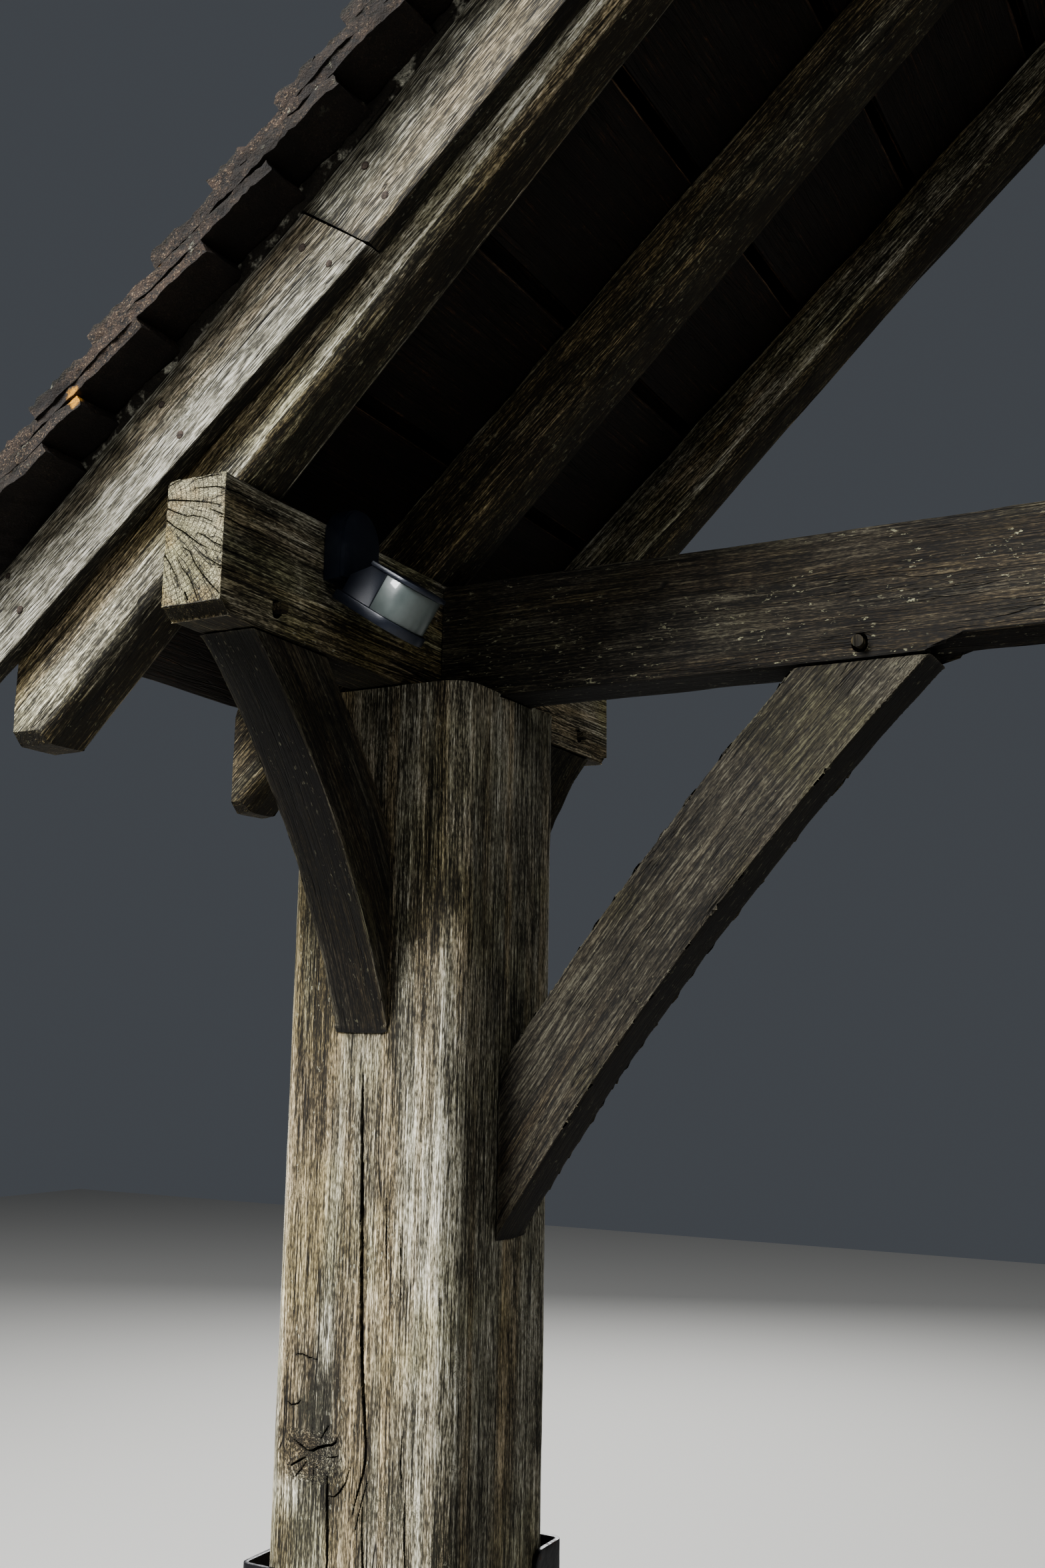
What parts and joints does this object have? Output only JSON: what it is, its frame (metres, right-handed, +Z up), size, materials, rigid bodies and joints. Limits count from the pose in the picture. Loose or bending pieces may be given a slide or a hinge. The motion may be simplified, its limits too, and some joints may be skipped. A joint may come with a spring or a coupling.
{
  "type": "lychgate",
  "caption": "Oak lychgate: posts with wall plates, tie beam and curved braces carry a shallow tiled gable roof over a churchyard path.",
  "frame": {"origin": "centre of the left post's foot, at ground level", "axes": "+X across the passage from the left post to the right one, -Y towards the front, +Z up"},
  "size_m": [2.6418, 0.968, 3.3871],
  "materials": {
    "post_oak": "weathered silver-grey oak with lichen",
    "plate_oak": "weathered oak, checked end grain",
    "tie_oak": "weathered dark oak with lichen flecks",
    "brace_oak": "weathered dark oak",
    "rafter_oak": "weathered oak with green algae",
    "roof_wood": "dry brown oak",
    "clay_tile": "dark plain clay with moss and lichen",
    "lime_mortar": "weathered lime mortar",
    "barge_oak": "weathered silver-grey oak",
    "peg_oak": "dark oak",
    "black_iron": "black painted iron",
    "lamp_plastic": "dark satin plastic",
    "lamp_glass": "grey frosted glass"
  },
  "bodies": {
    "root": {"post_left": "post_oak", "post_right": "post_oak", "wall_plate_left": "plate_oak", "wall_plate_right": "plate_oak", "tie_beam": "tie_oak", "tie_brace_left": "brace_oak", "tie_brace_right": "brace_oak", "plate_brace_left_front": "brace_oak", "plate_brace_left_rear": "brace_oak", "plate_brace_right_front": "brace_oak", "plate_brace_right_rear": "brace_oak", "rafter_front_left": "rafter_oak", "rafter_front_right": "rafter_oak", "rafter_middle_left": "rafter_oak", "rafter_middle_right": "rafter_oak", "rafter_rear_left": "rafter_oak", "rafter_rear_right": "rafter_oak", "ridge_board": "roof_wood", "boarding_left": "roof_wood", "boarding_right": "roof_wood", "battens_left": "roof_wood", "battens_right": "roof_wood", "tiles_left": "clay_tile", "tiles_right": "clay_tile", "ridge_tiles": "clay_tile", "ridge_mortar": "lime_mortar", "verge_mortar_left": "lime_mortar", "verge_mortar_right": "lime_mortar", "barge_front_left_upper": "barge_oak", "barge_front_left_lower": "barge_oak", "barge_front_right_upper": "barge_oak", "barge_front_right_lower": "barge_oak", "barge_rear_left_upper": "barge_oak", "barge_rear_left_lower": "barge_oak", "barge_rear_right_upper": "barge_oak", "barge_rear_right_lower": "barge_oak", "tie_pegs": "peg_oak", "plate_pegs_left": "peg_oak", "plate_pegs_right": "peg_oak", "iron_band_left": "black_iron", "iron_band_right": "black_iron", "lamp_bracket": "lamp_plastic", "lamp_head": "lamp_plastic", "lamp_glass": "lamp_glass"}
  },
  "joints": []
}
